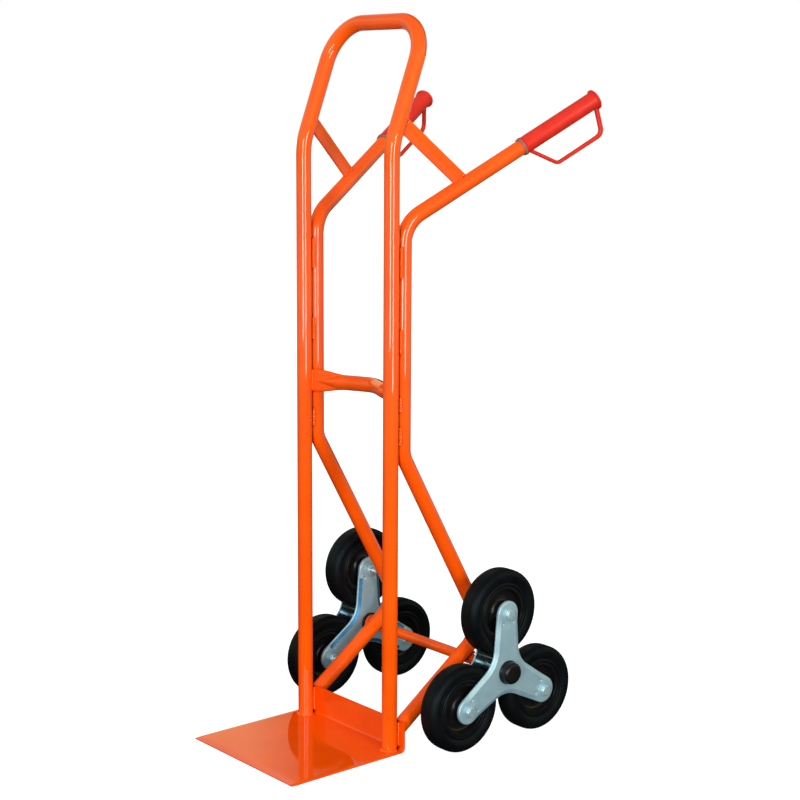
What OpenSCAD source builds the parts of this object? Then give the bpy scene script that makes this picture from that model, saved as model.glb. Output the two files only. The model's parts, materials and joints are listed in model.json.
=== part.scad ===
// Stair-climbing hand truck: a bent tube frame on a toe plate, two arms with
// guarded grips, and two three-wheel stars that turn on one fixed axle.
// +Y points backwards, towards the wheels. +X is the right-hand side.
// The origin is on the floor, midway between the two uprights.

/* [Loop frame] */
// Outside diameter of the loop tube
loop_d = 28; // [26:0.5:29]
// Wall thickness of all frame tubes
tube_wall = 2; // [1.5:0.5:3]
// Distance from the middle to each upright's centre line
upright_x = 125; // [115:1:132]
// Height where the uprights bend backwards
loop_bend_z = 1088; // [1060:1:1110]
// Centre-line radius of that bend
loop_bend_r = 132; // [90:5:160]
// How far back the top bar stands
loop_back = 79; // [60:1:95]
// Height of the top bar's centre line
loop_top_z = 1300; // [1280:1:1320]
// Centre-line radius of the two top corners
loop_corner_r = 72; // [60:1:85]

/* [Toe plate] */
// Half the width of the toe plate
plate_half_w = 149; // [142:1:156]
// How far the plate reaches in front of the uprights
plate_front = 238; // [200:1:260]
// Thickness of the plate
plate_t = 3; // [2:0.5:4]
// Height of the upturned rear flange
flange_h = 57; // [50:1:65]
// Inside radius of the fold
fold_r = 5; // [3:0.5:8]

/* [Side rails] */
// Outside diameter of the rail tube
rail_d = 28; // [26:0.5:28]
// Distance of the rail's vertical run behind the upright
rail_y = 28.2; // [28.2:0.1:32]
// Height where the rail turns into the arm
arm_bend_z = 953; // [920:1:970]
// Height where the rail turns towards the axle
lower_bend_z = 543; // [500:1:560]
// How far back the rear corner stands
rear_corner_y = 230; // [228:1:234]
// Height of the rear corner
rear_corner_z = 188; // [187:0.5:189]
// Height at which the brace meets the flange
brace_end_z = 35.5; // [34:0.5:37]
// How far each arm's end stands outside its rail
arm_spread = 108; // [85:1:120]
// How far back each arm's end reaches
arm_end_y = 385.5; // [360:1:400]
// Height of each arm's end
arm_end_z = 1168; // [1130:1:1190]

/* [Crossbar and struts] */
// Height of the crossbar
crossbar_z = 650; // [600:0.5:700]
// Diameter of the crossbar tube
crossbar_d = 28; // [24:0.5:29]
// How far behind the uprights the lines of the crossbar's two legs meet
crossbar_corner_y = 66; // [50:1:72]
// Height of the crossbar's flattened ends
crossbar_end_h = 43; // [36:1:46]
// Width of the flat struts
strut_w = 27; // [20:1:32]
// Thickness of the flat struts
strut_t = 5; // [4:0.5:8]
// Height at which the struts meet the loop
strut_top_z = 1130; // [1120:1:1140]
// Distance along the arm at which the struts meet it
strut_arm_s = 133; // [120:1:145]

/* [Grips] */
// Length of a grip
grip_len = 169; // [150:1:180]
// Diameter of a grip's sleeve
grip_d = 31.5; // [30:0.5:34]
// Diameter of the flange at a grip's outer end
grip_end_d = 38; // [36:0.5:42]
// Distance of the hand guard from the grip's centre line
guard_drop = 62; // [55:1:68]
// Thickness of the hand guard
guard_d = 6.5; // [5:0.5:8]
// Turn of the right guard about its arm, in degrees
guard_turn_right = 2; // [-15:1:15]
// Turn of the left guard about its arm, in degrees
guard_turn_left = -11; // [-15:1:15]

/* [Stars and wheels] */
// Diameter of the axle bar
axle_d = 20; // [19:1:21]
// How far behind the uprights the axle stands
axle_y = 196; // [194.5:0.5:196]
// Wheel diameter
wheel_d = 160; // [150:1:164]
// Width of a tyre
tyre_w = 40; // [34:1:44]
// Distance from the axle to each wheel's centre
star_r = 109; // [108:1:110]
// Distance from the middle to the wheels' centre plane
wheel_x = 199.5; // [198:0.5:206]
// Clear width between the two plates of a star
star_gap = 50; // [49:1:56]
// Thickness of a star plate
star_t = 3; // [2:0.5:4]
// Radius of a star arm's round end
star_tip_r = 24.5; // [22:0.5:27]
// How much a star arm widens towards the hub, per mm
star_taper = 0.08; // [0.06:0.01:0.1]
// Distance from the axle to the star's waist
star_waist = 42.5; // [41:0.5:44]

/* [Hidden] */
$fn = 64;

paint = "orangered";
plastic = "crimson";
zinc = "lightsteelblue";
black = "#222222";
dark_plastic = "#333333";
grey = "dimgray";

// How far a tube's bend reaches into its straight runs, and how much thinner it is
bend_lap = 1;
bend_skin = 0.25;

// How far the round parts of a star's outline reach past the edges they meet
seam = 0.02;

// Loop frame and plate
loop_r = loop_d / 2;
flange_y = loop_r + 0.5;
plate_back = flange_y + plate_t;
fold_out_r = fold_r + plate_t;

// Side rail corner points, on the right-hand side
rail_r = rail_d / 2;
arm_bend = [upright_x, rail_y, arm_bend_z];
lower_bend = [upright_x, rail_y, lower_bend_z];
rear_corner = [upright_x, rear_corner_y, rear_corner_z];
brace_end = [upright_x, plate_back, brace_end_z];
arm_end = [upright_x + arm_spread, arm_end_y, arm_end_z];
arm_bend_r = 60;
lower_bend_r = 50;
rear_bend_r = 58;

// Where each weld between a rail and its upright begins, and its length
rail_welds = [[858, 57], [726, 43], [623, 28], [563, 34]];

// Arm direction, and the direction across it that hangs down
arm_len = norm(arm_end - arm_bend);
arm_dir = unit(arm_end - arm_bend);
arm_down = unit([0, 0, -1] + arm_dir * arm_dir.z);

// Grip, measured along the arm
grip_from = arm_len - grip_len;
grip_end_t = 4.5;
grip_slack = 0.1;
grip_ring_t = 3;

// The guard's centre line: where it leaves the sleeve, its two corners, and where
// it comes back
guard_root = 12;
guard_from = grip_from + 10.4;
guard_near_corner = grip_from + 49;
guard_far_corner = arm_len - 17;
guard_to = arm_len - 5.2;
guard_corner_r = 12;

// Star stack, measured from the middle outwards
wheel_r = wheel_d / 2;
axle_z = wheel_r + star_r / 2;
axle_r = axle_d / 2;
inner_plate_x = wheel_x - star_gap / 2 - star_t;
outer_plate_x = wheel_x + star_gap / 2;
outer_face_x = outer_plate_x + star_t;
rim_lip = 3;
rim_lip_t = 2;
washer_t = 1.6;
washer_r = 10;
bolt_r = 5;
bolt_len = 80;
bolt_slack = 0.2;
hex_r = 17 / sqrt(3);
head_t = 6.4;
nut_t = 8.4;
sleeve_r = 15;
bush_r = 12.4;
bush_slack = 0.1;
run_slack = 0.05;
face_slack = 0.4;
bush_flange_r = 16;
bush_flange_t = 3;
bush_shoulder_r = 20;
bush_shoulder_t = 5;
collar_r = 17;
collar_w = 6;
collar_to = inner_plate_x - bush_shoulder_t - face_slack;
retainer_t = 2;
retainer_r = 15;
cap_r = 22;
cap_wall = 3;
cap_to = outer_face_x + 18.5;
axle_to = cap_to - cap_wall - 3;
spacer_r = 10;

// Wheel section
rim_r = 50;
hub_r = 19;
rim_ring_t = 7;
web_t = 9;
rim_w = tyre_w - 8;

// The angles of a star's arms, clockwise from straight up when seen from +X
top_arm = 0;
rear_arm = -120;
front_arm = 120;

function unit(v) = v / norm(v);
function mirrored(p) = [-p.x, p.y];
function spin(p, a) = [p.x * cos(a) - p.y * sin(a), p.x * sin(a) + p.y * cos(a)];

// A matrix that sets local Z along dir and local X along the part of ref across dir
function place(at, dir, ref) =
    let (z = unit(dir), x = unit(ref - z * (ref * z)), y = cross(z, x))
    [[x.x, y.x, z.x, at.x], [x.y, y.y, z.y, at.y], [x.z, y.z, z.z, at.z], [0, 0, 0, 1]];

// Any direction that isn't along v
function aside(v) = abs(unit(v).x) > 0.7 ? [0, 0, 1] : [1, 0, 0];

// Angle turned at corner i of a path, and the length its arc takes off each side
function turn(p, i) = acos(unit(p[i] - p[i - 1]) * unit(p[i + 1] - p[i]));
function setback(p, r, i) =
    i == 0 || i == len(p) - 1 ? 0 : r[i - 1] * tan(turn(p, i) / 2);

module ring(d, wall) {
    difference() {
        circle(d = d);
        if (wall > 0) circle(d = d - 2 * wall);
    }
}

// A tube through the points p, with bend radius r[i] at each inner point.
// A wall of 0 makes a solid bar. Each bend reaches bend_lap into its
// neighbours, and each face of its wall is set in by bend_skin, as a wall thins
// where a tube is bent.
module bent_tube(p, r, d, wall) {
    for (i = [0:len(p) - 2]) {
        dir = unit(p[i + 1] - p[i]);
        from = p[i] + dir * setback(p, r, i);
        to = p[i + 1] - dir * setback(p, r, i + 1);
        multmatrix(place(from, dir, aside(dir)))
            linear_extrude(norm(to - from)) ring(d, wall);
    }
    for (i = [1:len(p) - 2]) {
        dir = unit(p[i] - p[i - 1]);
        next = unit(p[i + 1] - p[i]);
        inward = unit(next - dir * (next * dir));
        centre = p[i] - dir * setback(p, r, i) + inward * r[i - 1];
        lap_angle = bend_lap / r[i - 1] * 180 / PI;
        multmatrix(place(centre, cross(dir, inward), -inward))
            rotate_extrude(angle = turn(p, i) + 2 * lap_angle, start = -lap_angle)
                translate([r[i - 1], 0])
                    ring(d - 2 * bend_skin, max(wall - 2 * bend_skin, 0));
    }
}

module right_and_left() {
    children();
    mirror([1, 0, 0]) children();
}

// ---- Frame ----

module toe_shape() {
    translate([-plate_half_w, -plate_front, 0])
        cube([2 * plate_half_w, plate_front + plate_back - fold_out_r, plate_t]);
    translate([-plate_half_w, flange_y, fold_out_r])
        cube([2 * plate_half_w, plate_t, flange_h - fold_out_r]);
    translate([plate_half_w, plate_back - fold_out_r, fold_out_r])
        rotate([0, -90, 0])
            rotate_extrude(angle = 90, start = 90)
                translate([fold_r, 0]) square([plate_t, 2 * plate_half_w]);
}

module toe_plate() {
    color(paint) toe_shape();
}

module loop_frame() {
    lean = [[upright_x, 0, plate_t], [upright_x, 0, loop_bend_z],
        [upright_x, loop_back, loop_top_z]];
    path = concat(lean, [for (i = [2:-1:0]) [-lean[i].x, lean[i].y, lean[i].z]]);
    radii = [loop_bend_r, loop_corner_r, loop_corner_r, loop_bend_r];
    color(paint)
        difference() {
            bent_tube(path, radii, loop_d, tube_wall);
            toe_shape();
        }
}

module axle_bar(r) {
    translate([-axle_to, axle_y, axle_z]) rotate([0, 90, 0]) cylinder(r = r, h = 2 * axle_to);
}

module side_rail() {
    brace = unit(brace_end - rear_corner);
    path = [arm_end - arm_dir * grip_end_t, arm_bend, lower_bend, rear_corner,
        brace_end + brace * rail_d];
    cut = 3 * rail_d;
    color(paint)
        difference() {
            bent_tube(path, [arm_bend_r, lower_bend_r, rear_bend_r], rail_d, tube_wall);
            translate([0, plate_back - cut, 0]) cube([2 * upright_x, cut, cut]);
            axle_bar(axle_r);
        }
}

module right_side_rail() {
    side_rail();
}

module left_side_rail() {
    mirror([1, 0, 0]) side_rail();
}

// The crossbar is a tube bent backwards in the middle. Each end is pressed flat
// and lies in the groove between the upright and the rail.
module crossbar() {
    end_t = 9;
    end_x = upright_x - 7;
    flat_from = 28;
    round_to = 68;
    bend_r = 50;
    slice = 1;
    swell = 0.4;
    middle = [0, crossbar_corner_y, 0];
    leg = unit([end_x, rail_y / 2, 0] - middle);
    leg_len = norm([end_x, rail_y / 2, 0] - middle);
    right = middle + leg * (leg_len - round_to);
    past = 2 * crossbar_end_h;
    color(paint)
        difference() {
            translate([0, 0, crossbar_z]) {
                bent_tube([[-right.x, right.y, 0], middle, right], [bend_r], crossbar_d, 0);
                right_and_left()
                    multmatrix(place(middle, leg, [0, 0, 1])) {
                        hull() {
                            translate([0, 0, leg_len - round_to - slice / 2])
                                cylinder(r = crossbar_d / 2 + swell, h = slice, $fn = 32);
                            translate([-crossbar_end_h / 2, -end_t / 2, leg_len - flat_from])
                                cube([crossbar_end_h, end_t, slice]);
                        }
                        translate([-crossbar_end_h / 2, -end_t / 2, leg_len - flat_from + slice / 2])
                            cube([crossbar_end_h, end_t, flat_from - slice / 2]);
                    }
            }
            right_and_left()
                for (tube = [[0, loop_r], [rail_y, rail_r]])
                    translate([upright_x, tube[0], 0]) cylinder(r = tube[1], h = crossbar_z + past);
        }
}

module strut() {
    lean = unit([0, loop_back, loop_top_z - loop_bend_z]);
    leg = [upright_x, 0, loop_bend_z] + lean * (strut_top_z - loop_bend_z) / lean.z;
    meet = arm_bend + arm_dir * strut_arm_s;
    cut = 2 * strut_w;
    color(paint)
        difference() {
            multmatrix(place(leg, meet - leg, [0, 0, 1]))
                translate([-strut_w / 2, -strut_t / 2, 0])
                    cube([strut_w, strut_t, norm(meet - leg)]);
            multmatrix(place(leg - lean * cut, lean, [1, 0, 0]))
                cylinder(r = loop_r, h = 2 * cut);
            multmatrix(place(meet - arm_dir * cut, arm_dir, [0, 0, 1]))
                cylinder(r = rail_r, h = 2 * cut);
        }
}

module right_strut() {
    strut();
}

module left_strut() {
    mirror([1, 0, 0]) strut();
}

// Weld beads lie in the grooves between uprights, rails, flange and plate, and on
// both sides of the axle where it lies under the braces. No bead runs in an inner
// groove where the crossbar's end fills it.
module frame_welds() {
    bead_r = 2.9;
    reach_loop = loop_r + bead_r + 0.1;
    reach_rail = rail_r + bead_r + 0.1;
    bead_y = (reach_loop * reach_loop - reach_rail * reach_rail + rail_y * rail_y)
        / (2 * rail_y);
    bead_x = sqrt(reach_loop * reach_loop - bead_y * bead_y);
    bar_low = crossbar_z - crossbar_end_h / 2;
    bar_high = crossbar_z + crossbar_end_h / 2;
    foot_r = 2.4;
    foot_h = flange_h - plate_t - fold_r - 4;
    foot_y = flange_y - foot_r - 0.1;
    foot_reach = loop_r + foot_r + 0.1;
    foot_x = sqrt(foot_reach * foot_reach - foot_y * foot_y);
    toe_w = 4;
    seat_r = 3;
    seat_len = 14;
    brace = unit(brace_end - rear_corner);
    under = [0, -brace.z, brace.y];
    axle_drop = ([0, axle_y, axle_z] - [0, rear_corner_y, rear_corner_z]) * under;
    seat_drop = rail_r + seat_r + 0.1;
    seat_reach = axle_r + seat_r + 0.1;
    seat_step = sqrt(seat_reach * seat_reach - pow(axle_drop - seat_drop, 2));
    seat_middle = [0, axle_y, axle_z] - under * (axle_drop - seat_drop);
    color(paint)
        right_and_left()
            translate([upright_x, 0, 0]) {
                for (side = [-1, 1])
                    translate(seat_middle + side * seat_step * brace - [seat_len / 2, 0, 0])
                        rotate([0, 90, 0]) cylinder(r = seat_r, h = seat_len);
                for (weld = rail_welds, side = [-1, 1])
                    if (side > 0 || weld[0] + weld[1] < bar_low || weld[0] > bar_high)
                        translate([side * bead_x, bead_y, weld[0]])
                            cylinder(r = bead_r, h = weld[1]);
                for (side = [-1, 1])
                    translate([side * foot_x, foot_y, plate_t + fold_r])
                        cylinder(r = foot_r, h = foot_h);
                translate([0, 0, plate_t])
                    rotate_extrude(angle = 180, start = 180)
                        translate([loop_r, 0]) polygon([[0, 0], [toe_w, 0], [0, toe_w]]);
            }
}

module axle() {
    color(paint) axle_bar(axle_r);
}

// ---- Parts that lie round the axle ----

// A tube along X from x0 to x1, round the axle
module axle_tube(x0, x1, r_out, r_in) {
    translate([x0, axle_y, axle_z])
        rotate([0, 90, 0])
            linear_extrude(x1 - x0) ring(2 * r_out, r_out - r_in);
}

// The ring welded on the axle, against which the star's inner bush runs
module axle_collar() {
    color(paint) axle_tube(collar_to - collar_w, collar_to, collar_r, axle_r);
}

module right_axle_collar() {
    axle_collar();
}

module left_axle_collar() {
    mirror([1, 0, 0]) axle_collar();
}

// The washer pressed on each axle end, which keeps the star on
module axle_retainer() {
    from = outer_face_x + bush_flange_t + face_slack;
    color(zinc) axle_tube(from, from + retainer_t, retainer_r, axle_r);
}

module right_axle_retainer() {
    axle_retainer();
}

module left_axle_retainer() {
    mirror([1, 0, 0]) axle_retainer();
}

// ---- Grips ----

module on_arm(turn_angle) {
    multmatrix(place(arm_bend, arm_dir, arm_down)) rotate([0, 0, turn_angle]) children();
}

module grip(turn_angle) {
    start_t = 4;
    start_r = grip_d / 2 + 1.25;
    bore = rail_r + grip_slack;
    guard = [[guard_root, 0, guard_from], [guard_drop, 0, guard_near_corner],
        [guard_drop, 0, guard_far_corner], [guard_root, 0, guard_to]];
    color(plastic)
        on_arm(turn_angle)
            difference() {
                union() {
                    translate([0, 0, grip_from]) cylinder(d = grip_d, h = grip_len);
                    translate([0, 0, grip_from]) cylinder(r = start_r, h = start_t);
                    translate([0, 0, arm_len - grip_end_t]) cylinder(d = grip_end_d, h = grip_end_t);
                    bent_tube(guard, [guard_corner_r, guard_corner_r], guard_d, 0);
                }
                translate([0, 0, grip_from - 1]) cylinder(r = bore, h = grip_len - grip_end_t + 1);
            }
}

module right_grip() {
    grip(guard_turn_right);
}

module left_grip() {
    mirror([1, 0, 0]) grip(guard_turn_left);
}

module grip_ring() {
    color(grey)
        on_arm(0)
            translate([0, 0, grip_from - grip_ring_t])
                linear_extrude(grip_ring_t) ring(grip_d + 1, grip_d / 2 + 0.5 - rail_r - grip_slack);
}

module right_grip_ring() {
    grip_ring();
}

module left_grip_ring() {
    mirror([1, 0, 0]) grip_ring();
}

// ---- Stars ----

// Turns 2D work in the XY plane into the YZ plane at x: 2D x becomes Y, 2D y becomes Z
module upright_at(x) {
    translate([x, axle_y, axle_z]) rotate([90, 0, 90]) children();
}

// Outline of a star plate, drawn inwards by inset.
// Each arm's edge is tangent to its round end and to the hollow beside it.
module star_outline(inset) {
    slope = sqrt(1 + star_taper * star_taper);
    reach = star_taper / 2 + sqrt(3) / 2;
    edge = star_tip_r * slope + star_r * star_taper;
    hollow_r = (reach * star_waist - edge) / (slope - reach);
    hollow_at = (star_waist + hollow_r) * [sin(60), cos(60)];
    across = [1, star_taper] / slope;
    tip = star_tip_r - inset;
    near_tip = [0, star_r] + tip * across;
    at_hollow = hollow_at - (hollow_r + inset) * across;
    arm = [at_hollow, near_tip, mirrored(near_tip), mirrored(at_hollow)];
    difference() {
        union() {
            polygon([for (turn_angle = [0, 120, 240], p = arm) spin(p, turn_angle)]);
            for (turn_angle = [0, 120, 240])
                rotate(turn_angle) translate([0, star_r]) circle(r = tip + seam);
        }
        for (turn_angle = [0, 120, 240])
            rotate(turn_angle) translate(hollow_at) circle(r = hollow_r + inset + seam);
    }
}

module at_arms() {
    for (turn_angle = [top_arm, rear_arm, front_arm])
        rotate(turn_angle) translate([0, star_r]) children();
}

// A pressed plate with a lip that points along +Z of its own frame
module star_plate() {
    difference() {
        linear_extrude(star_t + rim_lip) star_outline(0);
        translate([0, 0, star_t]) linear_extrude(rim_lip + 1) star_outline(rim_lip_t);
        translate([0, 0, -1]) cylinder(r = bush_r + bush_slack, h = star_t + 2);
        translate([0, 0, -1]) at_arms() cylinder(r = bolt_r + bolt_slack, h = star_t + 2);
    }
}

module star_outer_plate() {
    color(zinc) upright_at(outer_face_x) mirror([0, 0, 1]) star_plate();
}

module star_inner_plate() {
    color(zinc) upright_at(inner_plate_x) star_plate();
}

module hub_sleeve() {
    color(zinc) axle_tube(inner_plate_x + star_t, outer_plate_x, sleeve_r, bush_r + bush_slack);
}

// Two plain bushes that run on the axle, with a shoulder inside and a flange outside
module hub_bushes() {
    inside_len = 24;
    bore = axle_r + run_slack;
    color(dark_plastic) {
        axle_tube(inner_plate_x - bush_shoulder_t, inner_plate_x, bush_shoulder_r, bore);
        axle_tube(inner_plate_x, inner_plate_x + inside_len, bush_r, bore);
        axle_tube(outer_face_x - inside_len, outer_face_x, bush_r, bore);
        axle_tube(outer_face_x, outer_face_x + bush_flange_t, bush_flange_r, bore);
    }
}

module end_cap() {
    base_t = 4;
    dome_r = cap_r - 1;
    edge_r = 5;
    inner_r = dome_r - cap_wall;
    color(black)
        translate([outer_face_x, axle_y, axle_z])
            rotate([0, 90, 0])
                rotate_extrude()
                    difference() {
                        union() {
                            square([cap_r, base_t]);
                            square([dome_r, cap_to - outer_face_x - edge_r]);
                            square([dome_r - edge_r, cap_to - outer_face_x]);
                            translate([dome_r - edge_r, cap_to - outer_face_x - edge_r]) circle(r = edge_r);
                        }
                        square([inner_r, cap_to - outer_face_x - cap_wall]);
                    }
}

module wheel_bolts() {
    from = outer_face_x + washer_t;
    color(zinc)
        upright_at(from)
            at_arms() {
                cylinder(r = hex_r, h = head_t, $fn = 6);
                translate([0, 0, -bolt_len]) cylinder(r = bolt_r, h = bolt_len);
            }
}

module wheel_nuts() {
    color(zinc)
        upright_at(inner_plate_x - washer_t - nut_t)
            at_arms()
                difference() {
                    cylinder(r = hex_r, h = nut_t, $fn = 6);
                    translate([0, 0, -1]) cylinder(r = bolt_r, h = nut_t + 2);
                }
}

module wheel_washers() {
    color(zinc)
        for (x = [outer_face_x, inner_plate_x - washer_t])
            upright_at(x)
                at_arms()
                    linear_extrude(washer_t) ring(2 * washer_r, washer_r - bolt_r - bolt_slack);
}

// The tubes that hold the plates apart and on which the wheels run
module wheel_spacers() {
    color(zinc)
        upright_at(inner_plate_x + star_t)
            at_arms() linear_extrude(star_gap) ring(2 * spacer_r, spacer_r - bolt_r - bolt_slack);
}

module right_star_outer_plate() {
    star_outer_plate();
}

module left_star_outer_plate() {
    mirror([1, 0, 0]) star_outer_plate();
}

module right_star_inner_plate() {
    star_inner_plate();
}

module left_star_inner_plate() {
    mirror([1, 0, 0]) star_inner_plate();
}

module right_hub_sleeve() {
    hub_sleeve();
}

module left_hub_sleeve() {
    mirror([1, 0, 0]) hub_sleeve();
}

module right_hub_bushes() {
    hub_bushes();
}

module left_hub_bushes() {
    mirror([1, 0, 0]) hub_bushes();
}

module right_end_cap() {
    end_cap();
}

module left_end_cap() {
    mirror([1, 0, 0]) end_cap();
}

module right_wheel_bolts() {
    wheel_bolts();
}

module left_wheel_bolts() {
    mirror([1, 0, 0]) wheel_bolts();
}

module right_wheel_nuts() {
    wheel_nuts();
}

module left_wheel_nuts() {
    mirror([1, 0, 0]) wheel_nuts();
}

module right_wheel_washers() {
    wheel_washers();
}

module left_wheel_washers() {
    mirror([1, 0, 0]) wheel_washers();
}

module right_wheel_spacers() {
    wheel_spacers();
}

module left_wheel_spacers() {
    mirror([1, 0, 0]) wheel_spacers();
}

// ---- Wheels ----

// Places a wheel, modelled about Z, at the end of a star's arm
module on_star(arm_angle) {
    upright_at(wheel_x) rotate(arm_angle) translate([0, star_r]) children();
}

module tyre(arm_angle) {
    shoulder = 9;
    half = tyre_w / 2;
    seat_r = rim_r + 0.1;
    side_r = rim_r + 5;
    bead_h = rim_w / 2 + 1;
    color(black)
        on_star(arm_angle)
            rotate_extrude() {
                translate([seat_r, -bead_h]) square([2 * shoulder, 2 * bead_h]);
                translate([side_r, -half]) square([wheel_r - side_r - shoulder, tyre_w]);
                translate([side_r, shoulder - half])
                    square([wheel_r - side_r, tyre_w - 2 * shoulder]);
                for (side = [-1, 1])
                    translate([wheel_r - shoulder, side * (half - shoulder)])
                        circle(r = shoulder);
            }
}

module rim(arm_angle) {
    hub_len = star_gap - 2 * face_slack;
    color(dark_plastic)
        on_star(arm_angle)
            rotate_extrude()
                difference() {
                    union() {
                        translate([0, -hub_len / 2]) square([hub_r, hub_len]);
                        translate([0, -web_t / 2]) square([rim_r, web_t]);
                        translate([rim_r - rim_ring_t, -rim_w / 2]) square([rim_ring_t, rim_w]);
                    }
                    translate([0, -hub_len]) square([spacer_r + run_slack, 2 * hub_len]);
                }
}

module right_top_tyre() {
    tyre(top_arm);
}

module right_top_rim() {
    rim(top_arm);
}

module right_rear_tyre() {
    tyre(rear_arm);
}

module right_rear_rim() {
    rim(rear_arm);
}

module right_front_tyre() {
    tyre(front_arm);
}

module right_front_rim() {
    rim(front_arm);
}

module left_top_tyre() {
    mirror([1, 0, 0]) tyre(top_arm);
}

module left_top_rim() {
    mirror([1, 0, 0]) rim(top_arm);
}

module left_rear_tyre() {
    mirror([1, 0, 0]) tyre(rear_arm);
}

module left_rear_rim() {
    mirror([1, 0, 0]) rim(rear_arm);
}

module left_front_tyre() {
    mirror([1, 0, 0]) tyre(front_arm);
}

module left_front_rim() {
    mirror([1, 0, 0]) rim(front_arm);
}

loop_frame();
toe_plate();
right_side_rail();
left_side_rail();
crossbar();
right_strut();
left_strut();
frame_welds();
axle();
right_axle_collar();
left_axle_collar();
right_axle_retainer();
left_axle_retainer();
right_grip();
left_grip();
right_grip_ring();
left_grip_ring();
right_star_outer_plate();
right_star_inner_plate();
right_hub_sleeve();
right_hub_bushes();
right_end_cap();
right_wheel_bolts();
right_wheel_nuts();
right_wheel_washers();
right_wheel_spacers();
left_star_outer_plate();
left_star_inner_plate();
left_hub_sleeve();
left_hub_bushes();
left_end_cap();
left_wheel_bolts();
left_wheel_nuts();
left_wheel_washers();
left_wheel_spacers();
right_top_tyre();
right_top_rim();
right_rear_tyre();
right_rear_rim();
right_front_tyre();
right_front_rim();
left_top_tyre();
left_top_rim();
left_rear_tyre();
left_rear_rim();
left_front_tyre();
left_front_rim();
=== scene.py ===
"""Stair-climbing hand truck: the visible pieces, materials, light and camera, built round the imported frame.

Lengths are in metres in the frame's own axes: +Z is up, +Y points backwards to the wheels, +X is the
right-hand side. Values said to be in mm are multiplied by MM where they are used.
"""

import json
import math

import bmesh
import bpy
from mathutils import Matrix, Vector, noise


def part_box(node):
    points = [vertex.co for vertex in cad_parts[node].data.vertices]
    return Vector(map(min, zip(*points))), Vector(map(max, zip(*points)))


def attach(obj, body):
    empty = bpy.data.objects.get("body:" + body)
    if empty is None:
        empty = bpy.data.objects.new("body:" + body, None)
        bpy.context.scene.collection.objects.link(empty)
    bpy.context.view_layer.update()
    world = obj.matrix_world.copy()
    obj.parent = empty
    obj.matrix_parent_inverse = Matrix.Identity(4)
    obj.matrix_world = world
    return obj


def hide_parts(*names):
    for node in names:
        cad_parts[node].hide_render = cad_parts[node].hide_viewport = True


MM = 0.001
SIDES = {"right": 1, "left": -1}
WHEELS = ("top", "rear", "front")

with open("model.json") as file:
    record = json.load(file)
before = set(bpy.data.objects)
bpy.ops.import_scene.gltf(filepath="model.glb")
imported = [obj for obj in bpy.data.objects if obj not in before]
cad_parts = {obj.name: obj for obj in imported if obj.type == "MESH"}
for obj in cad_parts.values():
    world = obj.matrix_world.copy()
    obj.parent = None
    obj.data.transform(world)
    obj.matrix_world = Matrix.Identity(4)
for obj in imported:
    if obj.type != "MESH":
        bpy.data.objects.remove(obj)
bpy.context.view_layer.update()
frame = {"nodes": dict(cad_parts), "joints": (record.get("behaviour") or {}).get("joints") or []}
joint_at = {j["name"]: Vector(j["pos_m"]) for j in frame["joints"]}

# ---------------------------------------------------------------- dimensions

LOOP_R = 14 * MM
LOOP_BEND_Z = 1088 * MM
LOOP_BEND_R = 132 * MM
LOOP_CORNER_R = 72 * MM
loop_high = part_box("loop_frame")[1]
UPRIGHT_X = loop_high.x - LOOP_R
LOOP_BACK = loop_high.y - LOOP_R
LOOP_TOP_Z = loop_high.z - LOOP_R

plate_low, plate_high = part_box("toe_plate")
PLATE_T = 3 * MM
FOLD_R = 5 * MM

RAIL_R = 14 * MM
ARM_BEND = Vector((125, 28.2, 953)) * MM
LOWER_BEND = Vector((125, 28.2, 543)) * MM
REAR_CORNER = Vector((125, 230, 188)) * MM
BRACE_END = Vector((125, 17.5, 35.5)) * MM
ARM_END = Vector((233, 385.5, 1168)) * MM
ARM_BEND_R = 60 * MM
LOWER_BEND_R = 50 * MM
REAR_BEND_R = 58 * MM
ARM_LEN = (ARM_END - ARM_BEND).length
ARM_DIR = (ARM_END - ARM_BEND).normalized()
ARM_DOWN = (Vector((0, 0, -1)) + ARM_DIR * ARM_DIR.z).normalized()
ARM_SIDE = ARM_DIR.cross(ARM_DOWN)

CROSSBAR_Z = 650 * MM
CROSSBAR_R = 14 * MM
CROSSBAR_MIDDLE = Vector((0, 66 * MM, CROSSBAR_Z))
CROSSBAR_TIP = Vector((118 * MM, 14.1 * MM, CROSSBAR_Z))
CROSSBAR_BEND_R = 50 * MM
CROSSBAR_END = Vector((9, 43)) * MM
STRUT_SIZE = Vector((27, 5)) * MM
STRUT_TOP_Z = 1130 * MM
STRUT_ARM_S = 133 * MM
RAIL_WELDS = ((858, 57), (726, 43), (623, 28), (563, 34))

GRIP_LEN = 169 * MM
GRIP_R = 15.75 * MM
GRIP_START_R = 17 * MM
GRIP_END_R = 19 * MM
GUARD_DROP = 62 * MM
GUARD_TURN = {"right": 2, "left": -11}

# The first four are in mm, as star_outline is
STAR_R = 109
STAR_TIP_R = 24.5
STAR_TAPER = 0.08
STAR_WAIST = 42.5
STAR_GAP = 50 * MM
STAR_T = 3 * MM
WASHER_T = 1.6 * MM
HEAD_T = 6.4 * MM
NUT_T = 8.4 * MM
BOLT_LEN = 80 * MM
BOLT_R = 5 * MM
HEX_ACROSS = 17 * MM
AXLE_R = 10 * MM


def mirrored(point, side):
    """point, given for the right-hand side, on either side of the truck."""
    return Vector((point.x * side, point.y, point.z))


# ---------------------------------------------------------------- materials


def noise_texture(tree, scale, detail=4.0, roughness=0.55):
    """A noise texture in the object's own metres. scale is in waves a metre."""
    coordinates = tree.nodes.new("ShaderNodeTexCoord")
    texture = tree.nodes.new("ShaderNodeTexNoise")
    texture.inputs["Scale"].default_value = scale
    texture.inputs["Detail"].default_value = detail
    texture.inputs["Roughness"].default_value = roughness
    tree.links.new(coordinates.outputs["Object"], texture.inputs["Vector"])
    return texture.outputs["Fac"]


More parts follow.
